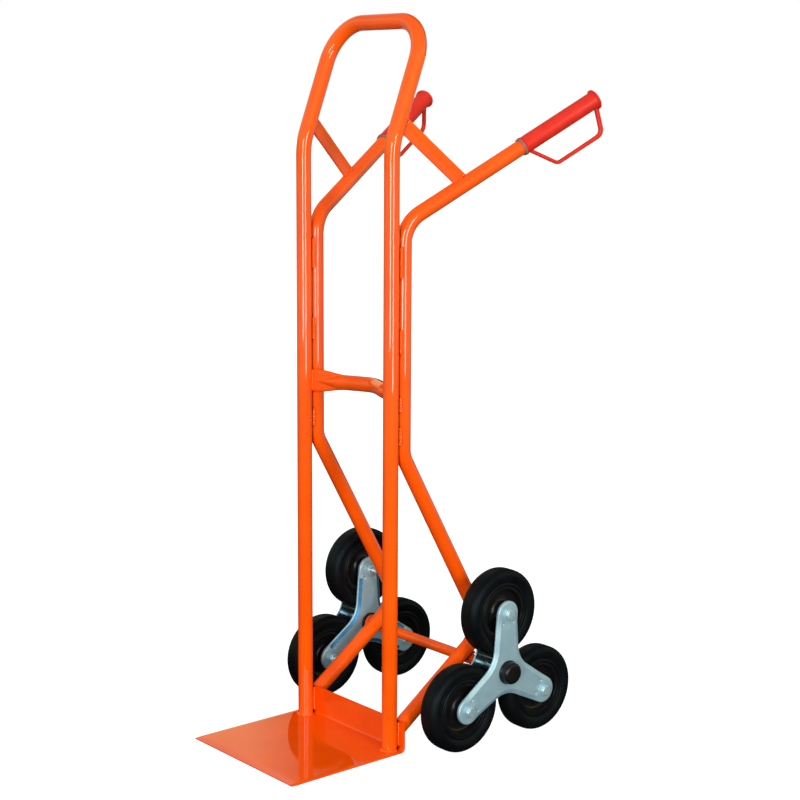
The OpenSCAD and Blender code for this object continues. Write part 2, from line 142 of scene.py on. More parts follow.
def ramp(tree, factor, stops):
    """A colour ramp over factor. stops are (position, colour)."""
    node = tree.nodes.new("ShaderNodeValToRGB")
    elements = node.color_ramp.elements
    while len(elements) < len(stops):
        elements.new(0.5)
    for element, (position, colour) in zip(elements, stops):
        element.position = position
        element.color = (*colour, 1)
    tree.links.new(factor, node.inputs["Fac"])
    return node.outputs["Color"]


def spread(tree, factor, low, high):
    """Maps the middle of a noise onto low to high."""
    node = tree.nodes.new("ShaderNodeMapRange")
    node.inputs["From Min"].default_value = 0.3
    node.inputs["From Max"].default_value = 0.7
    node.inputs["To Min"].default_value = low
    node.inputs["To Max"].default_value = high
    tree.links.new(factor, node.inputs["Value"])
    return node.outputs["Result"]


def bumps(tree, layers):
    """Chains bumps. layers are (height, strength, distance)."""
    normal = None
    for height, strength, distance in layers:
        node = tree.nodes.new("ShaderNodeBump")
        node.inputs["Strength"].default_value = strength
        node.inputs["Distance"].default_value = distance
        tree.links.new(height, node.inputs["Height"])
        if normal is not None:
            tree.links.new(normal, node.inputs["Normal"])
        normal = node.outputs["Normal"]
    return normal


def material(name, **sockets):
    """A Principled material with plain values on its sockets, and its node tree and shader."""
    made = bpy.data.materials.new(name)
    made.use_nodes = True
    shader = made.node_tree.nodes["Principled BSDF"]
    for socket, value in sockets.items():
        shader.inputs[socket.replace("_", " ")].default_value = value
    return made, made.node_tree, shader


def painted_groove_shade(tree, colour):
    """colour, darkened by painted shade in the tight grooves that the ambient occlusion finds."""
    hidden = tree.nodes.new("ShaderNodeAmbientOcclusion")
    hidden.samples = 8
    hidden.inputs["Distance"].default_value = 0.012
    shade = ramp(tree, hidden.outputs["AO"], [(0.18, (0.02, 0.015, 0.015)), (0.38, (1, 1, 1))])
    mix = tree.nodes.new("ShaderNodeMix")
    mix.data_type = "RGBA"
    mix.blend_type = "MULTIPLY"
    mix.inputs["Factor"].default_value = 1.0
    tree.links.new(colour, mix.inputs["A"])
    tree.links.new(shade, mix.inputs["B"])
    return mix.outputs["Result"]


def paint(name, tones, peel, roughness):
    """Gloss powder coat in those tones, with painted shade in its tight grooves. peel is how strong its
    orange-peel ripple is.
    """
    gloss = {"Coat_Weight": 1.0, "Coat_Roughness": 0.04, "Coat_IOR": 1.5}
    made, tree, shader = material(name, IOR=1.45, Specular_IOR_Level=0.0, **gloss)
    tone = noise_texture(tree, 9, 3)
    colour = ramp(tree, tone, tones)
    tree.links.new(painted_groove_shade(tree, colour), shader.inputs["Base Color"])
    blotch = noise_texture(tree, 40, 5)
    tree.links.new(spread(tree, blotch, roughness - 0.05, roughness + 0.06), shader.inputs["Roughness"])
    fine = noise_texture(tree, 520, 2)
    broad = noise_texture(tree, 90, 2)
    normal = bumps(tree, [(fine, peel, 0.0002), (broad, peel, 0.0006)])
    tree.links.new(normal, shader.inputs["Normal"])
    return made


def zinc_plate(name, metallic, tones, roughness):
    """Bright blue-passivated zinc, with a faint cloudy grain."""
    made, tree, shader = material(name, Metallic=metallic)
    cloud = noise_texture(tree, 34, 6, 0.6)
    colour = ramp(tree, cloud, tones)
    tree.links.new(colour, shader.inputs["Base Color"])
    grain = noise_texture(tree, 260, 4)
    tree.links.new(spread(tree, grain, roughness, roughness + 0.12), shader.inputs["Roughness"])
    tree.links.new(bumps(tree, [(grain, 0.12, 0.0002)]), shader.inputs["Normal"])
    return made


def rubber():
    """Black solid rubber, dull, with a dusty bloom."""
    made, tree, shader = material("tyre_rubber", Specular_IOR_Level=0.12, Specular_Tint=(0.60, 0.85, 1.0, 1))
    bloom = noise_texture(tree, 22, 5)
    colour = ramp(tree, bloom, [(0.35, (0.0018, 0.0024, 0.0032)), (0.7, (0.0038, 0.0042, 0.0048))])
    tree.links.new(colour, shader.inputs["Base Color"])
    tree.links.new(spread(tree, bloom, 0.36, 0.5), shader.inputs["Roughness"])
    grain = noise_texture(tree, 900, 3)
    tree.links.new(bumps(tree, [(grain, 0.25, 0.0002)]), shader.inputs["Normal"])
    return made


def moulded(name, dark, light, roughness, grain_strength, specular=0.4):
    """A moulded plastic between two tones of one colour."""
    made, tree, shader = material(name, Specular_IOR_Level=specular)
    tone = noise_texture(tree, 30, 4)
    tree.links.new(ramp(tree, tone, [(0.3, dark), (0.7, light)]), shader.inputs["Base Color"])
    tree.links.new(spread(tree, tone, roughness - 0.04, roughness + 0.05), shader.inputs["Roughness"])
    grain = noise_texture(tree, 1100, 2)
    tree.links.new(bumps(tree, [(grain, grain_strength, 0.0002)]), shader.inputs["Normal"])
    return made


TUBE_PAINT = paint("tube_paint", [(0.3, (0.88, 0.085, 0.0012)), (0.7, (0.97, 0.108, 0.003))], 0.08, 0.30)
PLATE_PAINT = paint("plate_paint", [(0.3, (0.82, 0.070, 0.0004)), (0.7, (0.90, 0.086, 0.0008))], 0.03, 0.10)
ZINC_TONES = [(0.3, (0.32, 0.50, 0.585)), (0.55, (0.37, 0.565, 0.64)), (0.75, (0.44, 0.585, 0.60))]
ZINC = zinc_plate("zinc", 0.45, ZINC_TONES, 0.40)
# A dark blue band on the inner plates' groove slopes: painted reflection
ZINC_PAINTED_REFLECTION = zinc_plate("zinc_painted_reflection", 0.60, [(0.3, (0.02, 0.15, 0.32)), (0.7, (0.05, 0.23, 0.42))], 0.34)
ZINC_BOLT = zinc_plate("zinc_bolt", 0.60, [(0.3, (0.46, 0.66, 0.72)), (0.7, (0.62, 0.80, 0.82))], 0.26)
# The hub sleeves' darker, shinier zinc, which mirrors the dark wheels. On the plates' faces towards the wheels,
# this darker copy of the plates' zinc is painted shade
ZINC_SLEEVE_AND_SHADE = zinc_plate("zinc_sleeve_and_painted_shade", 0.95, [(0.3, (0.20, 0.30, 0.36)), (0.7, (0.34, 0.44, 0.50))], 0.16)
RUBBER = rubber()
RED = moulded("grip_red", (0.62, 0.018, 0.006), (0.72, 0.027, 0.011), 0.42, 0.12, 0.25)
GREY = moulded("ring_grey", (0.14, 0.14, 0.13), (0.20, 0.20, 0.19), 0.5, 0.2)
BLACK = moulded("black_plastic", (0.0035, 0.0035, 0.0038), (0.006, 0.006, 0.006), 0.30, 0.12, 0.3)

# ---------------------------------------------------------------- mesh tools


def any_across(direction):
    """A unit vector at right angles to direction."""
    reference = Vector((0, 0, 1)) if abs(direction.z) < 0.8 else Vector((1, 0, 0))
    return (reference - direction * reference.dot(direction)).normalized()


def loft(bm, rings, loop=False):
    """A skin over rings of equally many points: closed on itself if loop, else with a face on each end."""
    rows = [[bm.verts.new(point) for point in ring] for ring in rings]
    following = rows[1:] + rows[:1] if loop else rows[1:]
    for row, following_row in zip(rows, following):
        for i in range(len(row)):
            j = (i + 1) % len(row)
            bm.faces.new((row[i], row[j], following_row[j], following_row[i]))
    if not loop:
        bm.faces.new(rows[0])
        bm.faces.new(rows[-1])
    return rows


def turned(bm, profile, at, axis, steps=72, loop=False):
    """Turns a profile of (radius, distance along the axis) about the axis. loop says the profile is closed."""
    side = any_across(axis)
    up = axis.cross(side)
    turns = [math.tau * k / steps for k in range(steps)]
    around = [side * math.cos(t) + up * math.sin(t) for t in turns]
    return loft(bm, [[at + axis * x + spoke * r for spoke in around] for r, x in profile], loop)


def rounded_path(corners, radii, step=math.radians(4)):
    """Points along straight runs that arcs join. radii[i] is the arc's radius at corners[i + 1]."""
    points = [corners[0]]
    for i, radius in enumerate(radii, 1):
        into = (corners[i] - corners[i - 1]).normalized()
        out = (corners[i + 1] - corners[i]).normalized()
        angle = into.angle(out)
        inward = (out - into * into.dot(out)).normalized()
        centre = corners[i] - into * radius * math.tan(angle / 2) + inward * radius
        count = max(3, math.ceil(angle / step))
        for k in range(count + 1):
            t = angle * k / count
            points.append(centre + radius * (into * math.sin(t) - inward * math.cos(t)))
    points.append(corners[-1])
    return points


def frames_along(points, side=None):
    """(point, side, up) at each point, turned no more than the path itself turns."""
    found = []
    for i, point in enumerate(points):
        before = (point - points[i - 1]).normalized() if i else None
        after = (points[i + 1] - point).normalized() if i + 1 < len(points) else before
        tangent = ((before or after) + after).normalized()
        side = side or any_across(tangent)
        side = (side - tangent * side.dot(tangent)).normalized()
        found.append((point, side, tangent.cross(side)))
    return found


def tube(bm, points, radius, sides=40):
    """A round bar along points. radius is a number, or a function of the distance along it."""
    rings, travelled, last = [], 0.0, points[0]
    for point, side, up in frames_along(points):
        travelled += (point - last).length
        last = point
        r = radius(travelled) if callable(radius) else radius
        turns = [math.tau * k / sides for k in range(sides)]
        rings.append([point + (side * math.cos(t) + up * math.sin(t)) * r for t in turns])
    loft(bm, rings)


def add_piece(name, bm, finish, body, stands_for=(), sharp=35):
    """Makes the object, smooth but for edges sharper than sharp degrees, and hangs it on its body."""
    bmesh.ops.recalc_face_normals(bm, faces=bm.faces)
    mesh = bpy.data.meshes.new(name)
    bm.to_mesh(mesh)
    bm.free()
    mesh.materials.append(finish)
    mesh.polygons.foreach_set("use_smooth", [True] * len(mesh.polygons))
    mesh.set_sharp_from_angle(angle=math.radians(sharp))
    piece = bpy.data.objects.new(name, mesh)
    bpy.context.scene.collection.objects.link(piece)
    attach(piece, body)
    if stands_for:
        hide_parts(*stands_for)
    return piece


# ---------------------------------------------------------------- frame


def loop_tube():
    corners = [
        Vector((UPRIGHT_X, 0, PLATE_T)),
        Vector((UPRIGHT_X, 0, LOOP_BEND_Z)),
        Vector((UPRIGHT_X, LOOP_BACK, LOOP_TOP_Z)),
    ]
    corners += [mirrored(corner, -1) for corner in reversed(corners)]
    radii = [LOOP_BEND_R, LOOP_CORNER_R, LOOP_CORNER_R, LOOP_BEND_R]
    bm = bmesh.new()
    tube(bm, rounded_path(corners, radii), LOOP_R)
    add_piece("loop_tube", bm, TUBE_PAINT, "frame", ["loop_frame"])


def rail_tube(name, side):
    into_grip = ARM_END - ARM_DIR * GRIP_LEN * 0.5
    corners = [into_grip, ARM_BEND, LOWER_BEND, REAR_CORNER, BRACE_END]
    corners = [mirrored(corner, side) for corner in corners]
    bm = bmesh.new()
    tube(bm, rounded_path(corners, [ARM_BEND_R, LOWER_BEND_R, REAR_BEND_R]), RAIL_R)
    add_piece(f"{name}_rail_tube", bm, TUBE_PAINT, "frame", [f"{name}_side_rail"])


def toe_sheet():
    """One folded sheet with slightly rounded edges, a little uneven as pressed sheet is."""
    bend_y = plate_high.y - PLATE_T - FOLD_R
    middle_r = FOLD_R + PLATE_T / 2
    edge_r = 0.7 * MM
    dent = 0.12 * MM
    flat_steps, bend_steps, flange_steps = 24, 12, 6
    flat_len = bend_y - plate_low.y
    line = [Vector((0, plate_low.y + k / flat_steps * flat_len, PLATE_T / 2)) for k in range(flat_steps)]
    for k in range(bend_steps + 1):
        t = math.pi / 2 * k / bend_steps
        line.append(Vector((0, bend_y + middle_r * math.sin(t), PLATE_T / 2 + middle_r * (1 - math.cos(t)))))
    last = line[-1]
    rise = plate_high.z - last.z
    line += [last + Vector((0, 0, rise * k / flange_steps)) for k in range(1, flange_steps + 1)]
    normals = []
    for i in range(len(line)):
        run = line[min(i + 1, len(line) - 1)] - line[max(i - 1, 0)]
        normals.append(Vector((0, -run.z, run.y)).normalized())
    half = PLATE_T / 2
    rings = []
    count = 48
    width = plate_high.x - plate_low.x
    places = [(0, half - edge_r), (edge_r * 0.3, half - edge_r * 0.3)]
    places += [(edge_r + (width - 2 * edge_r) * k / count, half) for k in range(count + 1)]
    places += [(width - x, thick) for x, thick in reversed(places[:2])]
    for x, thick in places:
        at_x = plate_low.x + x
        top, under = [], []
        for i, (point, normal) in enumerate(zip(line, normals)):
            middle = Vector((at_x, 0, 0)) + point
            pinch = thick - edge_r if i in (0, len(line) - 1) else thick
            ripple = -dent * abs(noise.noise(middle * 9))
            top.append(middle + normal * (pinch + ripple))
            under.append(middle - normal * (pinch + ripple))
        rings.append(top + under[::-1])
    bm = bmesh.new()
    loft(bm, rings)
    add_piece("toe_sheet", bm, PLATE_PAINT, "frame", ["toe_plate"], 50)


def smooth_step(t):
    """0 to 1 as t goes from 0 to 1, starting and stopping gently."""
    t = min(1.0, max(0.0, t))
    return t * t * (3 - 2 * t)


def crossbar_tube():
    """A bent tube. Towards each end a flat fin grows out of the round part, which narrows to a point."""
    leg = (CROSSBAR_TIP - CROSSBAR_MIDDLE).length
    run = (CROSSBAR_TIP - CROSSBAR_MIDDLE).normalized()
    pressed = 72 * MM
    fin_grows = 62 * MM
    point_at = 8 * MM
    round_grows = 52 * MM
    tall_end = CROSSBAR_R + (CROSSBAR_END.y / 2 - CROSSBAR_R) * 0.96
    stops = [CROSSBAR_MIDDLE + run * (leg - pressed * k / 48) for k in range(49)]
    right = rounded_path([stops[-1], CROSSBAR_MIDDLE, mirrored(stops[-1], -1)], [CROSSBAR_BEND_R])
    points = stops[:-1] + right + [mirrored(point, -1) for point in reversed(stops[:-1])]
    fin = CROSSBAR_END.x / 2
    sides = 64
    up = Vector((0, 0, 1))
    rings = []
    for point, out, _ in frames_along(points, Vector((run.y, -run.x, 0))):
        from_end = min(pressed, leg - (mirrored(point, math.copysign(1, point.x)) - CROSSBAR_MIDDLE).length)
        tall = CROSSBAR_R + (tall_end - CROSSBAR_R) * smooth_step((pressed - from_end) / fin_grows)
        share = min(1.0, max(0.02, (from_end - point_at) / round_grows))
        bulge_h = CROSSBAR_R * share
        bulge_d = fin + (CROSSBAR_R - fin) * share
        ring = []
        for i in range(sides):
            a = math.tau * i / sides
            z = tall * math.sin(a)
            edge = max(0.0, (abs(z) - tall + fin) / fin)
            deep = fin * math.sqrt(max(0.0, 1 - edge * edge))
            deep = max(deep, bulge_d * math.sqrt(max(0.0, 1 - (z / bulge_h) ** 2)))
            ring.append(point + out * math.copysign(deep, math.cos(a)) + up * z)
        rings.append(ring)
    bm = bmesh.new()
    loft(bm, rings)
    add_piece("crossbar_tube", bm, TUBE_PAINT, "frame", ["crossbar"], 45)


def strut_line():
    """Where the right strut's centre line leaves the loop and meets the arm."""
    lean = Vector((0, LOOP_BACK, LOOP_TOP_Z - LOOP_BEND_Z))
    share = (STRUT_TOP_Z - LOOP_BEND_Z) / lean.z
    leg = Vector((UPRIGHT_X, 0, LOOP_BEND_Z)) + lean * share
    return leg, ARM_BEND + ARM_DIR * STRUT_ARM_S


def strut_bar(name, side):
    """A flat bar with rounded long edges."""
    leg, meet = (mirrored(point, side) for point in strut_line())
    run = (meet - leg).normalized()
    upward = (Vector((0, 0, 1)) - run * run.z).normalized()
    across = run.cross(upward)
    edge = 1.2 * MM
    outline = []
    for sx, sy in ((1, 1), (-1, 1), (-1, -1), (1, -1)):
        centre = Vector((sx * (STRUT_SIZE.x / 2 - edge), sy * (STRUT_SIZE.y / 2 - edge)))
        start = math.atan2(sy, sx) - math.pi / 4
        turns = [start + k * math.pi / 8 for k in range(5)]
        outline += [centre + edge * Vector((math.cos(t), math.sin(t))) for t in turns]
    inset = LOOP_R * 0.6
    rings = []
    for point in (leg + run * inset, meet - run * inset):
        rings.append([point + upward * p.x + across * p.y for p in outline])
    bm = bmesh.new()
    loft(bm, rings)
    add_piece(f"{name}_strut_bar", bm, TUBE_PAINT, "frame", [f"{name}_strut"])


def bead(bm, points, radius, seed):
    """A weld bead along points: overlapping ripples, thinner where it starts and stops."""
    length = sum((b - a).length for a, b in zip(points, points[1:]))
    ripple = 2.4 * MM
    fade = 3 * MM

    def thickness(s):
        scallop = abs(math.sin(math.pi * s / ripple))
        wander = noise.noise(Vector((s * 260, seed, 0.5)))
        tail = min(1.0, (min(s, length - s) + 0.4 * MM) / fade)
        return radius * (0.82 + 0.18 * scallop + 0.12 * wander) * math.sqrt(tail)

    tube(bm, points, thickness, 12)


def straight(a, b, step=0.5 * MM):
    """Points from a to b, step apart."""
    count = max(2, round((b - a).length / step))
    return [a.lerp(b, k / count) for k in range(count + 1)]


def arc(centre, side, up, radius, start, stop, step=0.5 * MM):
    """Points on an arc from start to stop degrees."""
    start, stop = math.radians(start), math.radians(stop)
    count = max(3, round(abs(stop - start) * radius / step))
    turns = [start + (stop - start) * k / count for k in range(count + 1)]
    return [centre + radius * (side * math.cos(t) + up * math.sin(t)) for t in turns]


def ring_on_plane(at, run, radius, plane_y):
    """The closed line where a tube of that radius along run, through at, meets the plane at plane_y."""
    across = Vector((1, 0, 0))
    third = run.cross(across)
    points = []
    for k in range(121):
        t = math.tau * k / 120
        edge = at + (across * math.cos(t) + third * math.sin(t)) * radius
        points.append(edge + run * (plane_y - edge.y) / run.y)
    return points


def reaches(start, run, centre, radius):
    """The first point on the way from start along run that is radius away from centre, seen from above."""
    gap = Vector((start.x - centre.x, start.y - centre.y))
    flat = Vector((run.x, run.y))
    middle = gap.dot(flat)
    return start + run * (-middle - math.sqrt(middle * middle - gap.length_squared + radius * radius))


def foot_lines():
    """Beads at the right upright's foot, up the flange, and where the brace meets the flange."""
    foot = Vector((UPRIGHT_X, 0, PLATE_T + 0.8 * MM))
    yield arc(foot, Vector((1, 0, 0)), Vector((0, -1, 0)), LOOP_R + 1.2 * MM, -25, 205), 2.6 * MM
    gap = plate_high.y - PLATE_T - 0.8 * MM
    for way in (-1, 1):
        low = Vector((UPRIGHT_X + way * LOOP_R * 0.62, gap, PLATE_T + FOLD_R))
        yield straight(low, Vector((low.x, gap, plate_high.z - 3 * MM))), 2.2 * MM
    brace = (REAR_CORNER - BRACE_END).normalized()
    yield ring_on_plane(BRACE_END, brace, RAIL_R + 0.6 * MM, plate_high.y + 0.6 * MM), 2.2 * MM


def rail_lines():
    """Beads between the right upright and its rail, and at the crossbar's flat end."""
    for low, length in RAIL_WELDS:
        beside_bar = abs((low + length / 2) * MM - CROSSBAR_Z) < CROSSBAR_END.y
        for way in (1,) if beside_bar else (-1, 1):
            at = Vector((UPRIGHT_X + way * 10.2 * MM, ARM_BEND.y / 2, low * MM))
            yield straight(at, at + Vector((0, 0, length * MM))), 3.4 * MM
    run = (CROSSBAR_TIP - CROSSBAR_MIDDLE).normalized()
    front = Vector((run.y, -run.x, 0))
    tall = Vector((0, 0, CROSSBAR_END.y / 2 - 2 * MM))
    for way, y in ((1, 0), (-1, ARM_BEND.y)):
        start = CROSSBAR_MIDDLE + front * way * (CROSSBAR_END.x / 2 + 0.8 * MM)
        at = reaches(start, run, Vector((UPRIGHT_X, y, 0)), LOOP_R + 0.8 * MM)
        yield straight(at - tall, at + tall), 2.2 * MM


def strut_lines():
    """Beads on both faces of the right strut, at the loop and at the arm."""
    leg, meet = strut_line()
    run = (meet - leg).normalized()
    upward = (Vector((0, 0, 1)) - run * run.z).normalized()
    across = run.cross(upward)
    tall = upward * (STRUT_SIZE.x / 2 - 1 * MM)
    for at, onward in ((leg, run), (meet, -run)):
        for way in (-1, 1):
            middle = at + onward * (LOOP_R + 0.2 * MM) + across * way * (STRUT_SIZE.y / 2 + 0.8 * MM)
            yield straight(middle - tall, middle + tall), 2.0 * MM


def axle_lines():
    """Beads between the right brace and the axle, and round the axle beside its collar."""
    hub = joint_at["right_star_turn"]
    brace = (BRACE_END - REAR_CORNER).normalized()
    under = Vector((0, -brace.z, brace.y))
    seat_r = 3 * MM
    drop = Vector((0, hub.y - REAR_CORNER.y, hub.z - REAR_CORNER.z)).dot(under)
    lift = drop - RAIL_R - seat_r
    step = math.sqrt((AXLE_R + seat_r) ** 2 - lift * lift)
    for way in (-1, 1):
        at = Vector((UPRIGHT_X, hub.y, hub.z)) - under * lift + brace * way * step
        yield straight(at - Vector((8 * MM, 0, 0)), at + Vector((8 * MM, 0, 0))), seat_r
    collar_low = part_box("right_axle_collar")[0].x
    at = Vector((collar_low - 0.8 * MM, hub.y, hub.z))
    yield arc(at, Vector((0, 1, 0)), Vector((0, 0, 1)), AXLE_R + 1.0 * MM, 0, 360), 2.2 * MM


def frame_beads():
    bm = bmesh.new()
    seed = 0
    for lines in (foot_lines, rail_lines, strut_lines, axle_lines):
        for points, radius in lines():
            for side in (1, -1):
                seed += 1
                bead(bm, [mirrored(point, side) for point in points], radius, seed)
    add_piece("weld_beads", bm, TUBE_PAINT, "frame", ["frame_welds"], 80)


# ---------------------------------------------------------------- grips


def grip(name, side):
    """A moulded sleeve with a collar, an end flange and a hand guard."""
    turn = math.radians(GUARD_TURN[name])
    down = ARM_DOWN * math.cos(turn) + ARM_SIDE * math.sin(turn)
    start = ARM_LEN - GRIP_LEN

    def on_arm(out, s):
        return ARM_BEND + ARM_DIR * s + down * out

    profile = [
        (RAIL_R + 0.1 * MM, start), (GRIP_START_R - 0.8 * MM, start), (GRIP_START_R, start + 0.8 * MM),
        (GRIP_START_R, start + 3.2 * MM), (GRIP_START_R - 0.5 * MM, start + 4.0 * MM),
        (GRIP_R, start + 4.6 * MM), (GRIP_R, ARM_LEN - 6.5 * MM), (GRIP_R + 0.5 * MM, ARM_LEN - 5.2 * MM),
        (GRIP_END_R - 1.4 * MM, ARM_LEN - 4.5 * MM),
        (GRIP_END_R - 0.3 * MM, ARM_LEN - 3.8 * MM), (GRIP_END_R, ARM_LEN - 2.6 * MM),
        (GRIP_END_R - 0.5 * MM, ARM_LEN - 1.0 * MM), (GRIP_END_R - 1.8 * MM, ARM_LEN),
        (GRIP_R - 2 * MM, ARM_LEN), (4 * MM, ARM_LEN - 0.5 * MM), (0.6 * MM, ARM_LEN - 0.5 * MM),
    ]
    bm = bmesh.new()
    turned(bm, profile, ARM_BEND, ARM_DIR, 64)

    corners = [
        on_arm(13 * MM, start + 10.4 * MM), on_arm(GUARD_DROP, start + 49 * MM),
        on_arm(GUARD_DROP, ARM_LEN - 17 * MM), on_arm(13 * MM, ARM_LEN - 5.6 * MM),
    ]
    points = rounded_path(corners, [13 * MM, 15 * MM], math.radians(5))
    across = ARM_DIR.cross(down)
    lengths = [0.0]
    for a, b in zip(points, points[1:]):
        lengths.append(lengths[-1] + (b - a).length)
    rings = []
    for s, (point, wide, thin) in zip(lengths, frames_along(points, across)):
        share = s / lengths[-1]
        late = min(1.0, max(0.0, (share - 0.66) / 0.12))
        thickness = (3.6 + 0.8 * late) * MM
        width = 3.7 * MM
        turns = [math.tau * k / 20 for k in range(20)]
        rings.append([
            point + wide * width * math.copysign(abs(math.cos(t)) ** 0.7, math.cos(t))
            + thin * thickness * math.copysign(abs(math.sin(t)) ** 0.7, math.sin(t)) for t in turns])
    loft(bm, rings)
    for vertex in bm.verts:
        vertex.co = mirrored(vertex.co, side)
    add_piece(f"{name}_hand_grip", bm, RED, "frame", [f"{name}_grip"], 40)


# ---------------------------------------------------------------- stars


def star_outline(inset):
    """A star plate's outline in mm, moved in by inset: a round tip, straight edges and a hollow for each arm."""
    slope = math.sqrt(1 + STAR_TAPER**2)
    reach = STAR_TAPER / 2 + math.sqrt(3) / 2
    edge = STAR_TIP_R * slope + STAR_R * STAR_TAPER
    hollow_r = (reach * STAR_WAIST - edge) / (slope - reach)
    lean = math.degrees(math.atan(STAR_TAPER))
    tip_at = Vector((0, STAR_R))
    hollow_at = (STAR_WAIST + hollow_r) * Vector((-math.sin(math.radians(60)), math.cos(math.radians(60))))

    def on_circle(centre, radius, degrees):
        return centre + radius * Vector((math.cos(math.radians(degrees)), math.sin(math.radians(degrees))))

    one = [on_circle(tip_at, STAR_TIP_R - inset, lean + (180 - 2 * lean) * k / 28) for k in range(29)]
    hollow = [on_circle(hollow_at, hollow_r + inset, -lean - (60 - 2 * lean) * k / 16) for k in range(17)]
    one += [one[-1].lerp(hollow[0], k / 8) for k in range(1, 8)] + hollow
    other_edge = [Matrix.Rotation(math.radians(120), 2) @ one[0]]
    one += [hollow[-1].lerp(other_edge[0], k / 8) for k in range(1, 8)]
    return [Matrix.Rotation(math.radians(turn), 2) @ p for turn in (0, 120, 240) for p in one]


def arm_turns():
    return [math.radians(turn) for turn in (0, 120, 240)]


def star_plate(name, side, centre, face_x, outward):
    """A pressed plate: a lip, a groove inside the edge, holes, and two dimples by each bolt.

    Heights are in mm from the face, away from the wheels. The groove fades out towards each arm's tip.
    """

    def place(p, height):
        return Vector((face_x + outward * height, centre.y + p.x * MM, centre.z + p.y * MM))

    def groove_share(p):
        along = max((Matrix.Rotation(-turn, 2) @ p).y for turn in arm_turns())
        return min(1.0, max(0.0, (STAR_R - 2 - along) / 14))

    def ring(inset, plain, grooved):
        outline = star_outline(inset)
        return [place(p, (plain + (grooved - plain) * groove_share(p)) * MM) for p in outline]

    def disc(middle, radius, height, count=24):
        turns = [math.tau * k / count for k in range(count)]
        return [place(middle + radius * Vector((math.cos(t), math.sin(t))), height) for t in turns]

    back = -STAR_T
    # From the back face's edge, round the lip and across the groove's slope, to the front face's edge
    rings = [
        ring(2.6, -3, -3), ring(2.0, -3.2, -3.2), ring(2.0, -6, -6), ring(0.2, -6, -6), ring(0, -5.7, -5.7),
        ring(0, -2.6, -4.6), ring(0.25, -1.6, -3.9), ring(0.8, -0.9, -3.3), ring(1.6, -0.5, -2.9),
        ring(4.0, -0.2, -1.9), ring(7.2, 0, -0.5), ring(7.8, 0, -0.18), ring(8.4, 0, 0), ring(8.9, 0, 0),
    ]
    bm = bmesh.new()
    rows = [[bm.verts.new(point) for point in points] for points in rings]

    def skin(row, following):
        for i in range(len(row)):
            j = (i + 1) % len(row)
            bm.faces.new((row[i], row[j], following[j], following[i]))

    def ring_edges(row):
        pairs = zip(row, row[1:] + row[:1])
        return [bm.edges.get(pair) or bm.edges.new(pair) for pair in pairs]

    for row, following in zip(rows, rows[1:]):
        skin(row, following)
    reflection_slot, shade_slot = 1, 2
    slope_start, slope_stop = 8, 12
    # On the inner plates only, the groove's slope gets a painted blue reflection
    if outward != side:
        bm.faces.ensure_lookup_table()
        outline = star_outline(0)
        per_ring = len(outline)
        for number in range(slope_start * per_ring, slope_stop * per_ring):
            if groove_share(outline[number % per_ring]) > 0.9:
                bm.faces[number].material_index = reflection_slot
    front_edges, back_edges = ring_edges(rows[-1]), ring_edges(rows[0])
    hub_hole_r, bolt_hole_r = 12.6, 5.2
    holes = [(Vector((0, 0)), hub_hole_r)]
    holes += [(Matrix.Rotation(turn, 2) @ Vector((0, STAR_R)), bolt_hole_r) for turn in arm_turns()]
    for middle, radius in holes:
        front = [bm.verts.new(p) for p in disc(middle, radius, 0)]
        behind = [bm.verts.new(p) for p in disc(middle, radius, back)]
        skin(front, behind)
        front_edges += ring_edges(front)
        back_edges += ring_edges(behind)
    dent_at = Vector((12.8, STAR_R - 16.5))
    dent_profile = ((2.4, 0), (2.0, -0.12), (1.4, -0.75), (0.7, -1.0))
    for turn in arm_turns():
        for way in (-1, 1):
            middle = Matrix.Rotation(turn, 2) @ Vector((way * dent_at.x, dent_at.y))
            dents = [[bm.verts.new(p) for p in disc(middle, r, h * MM, 16)] for r, h in dent_profile]
            for row, following in zip(dents, dents[1:]):
                skin(row, following)
            bm.faces.new(dents[-1])
            front_edges += ring_edges(dents[0])
    bmesh.ops.triangle_fill(bm, edges=front_edges, use_beauty=True)
    # The faces towards the wheels get the darker zinc copy: painted shade
    for item in bmesh.ops.triangle_fill(bm, edges=back_edges, use_beauty=True)["geom"]:
        if isinstance(item, bmesh.types.BMFace):
            item.material_index = shade_slot
    which = "outer" if outward == side else "inner"
    piece = f"{name}_star_{which}"
    body = f"{name}_star"
    pressing = add_piece(f"{piece}_pressing", bm, ZINC, body, [f"{piece}_plate"], 30)
    pressing.data.materials.append(ZINC_PAINTED_REFLECTION)
    pressing.data.materials.append(ZINC_SLEEVE_AND_SHADE)


def hex_ring(at, axis, height, limit, count=48):
    """A hexagon's outline at height along the axis, with its corners cut back to limit."""
    side = any_across(axis)
    up = axis.cross(side)
    points = []
    for k in range(count):
        t = math.tau * k / count
        from_flat = (t + math.pi / 6) % (math.pi / 3) - math.pi / 6
        r = min(limit, HEX_ACROSS / 2 / math.cos(from_flat))
        points.append(at + axis * height + (side * math.cos(t) + up * math.sin(t)) * r)
    return points


def hex_block(bm, at, axis, thickness, both):
    """A hexagon head or nut with chamfered corners, on one end or on both."""
    corner = HEX_ACROSS / math.sqrt(3)
    cut = 1.3 * MM
    flat_r = HEX_ACROSS * 0.47
    rise = [(thickness - cut * (1 - k / 4), corner - (corner - flat_r) * k / 4) for k in range(5)]
    start = [(0, corner)]
    if both:
        start = [(cut - cut * k / 4, corner - (corner - flat_r) * k / 4) for k in range(4, -1, -1)]
    loft(bm, [hex_ring(at, axis, h, limit) for h, limit in start + rise])


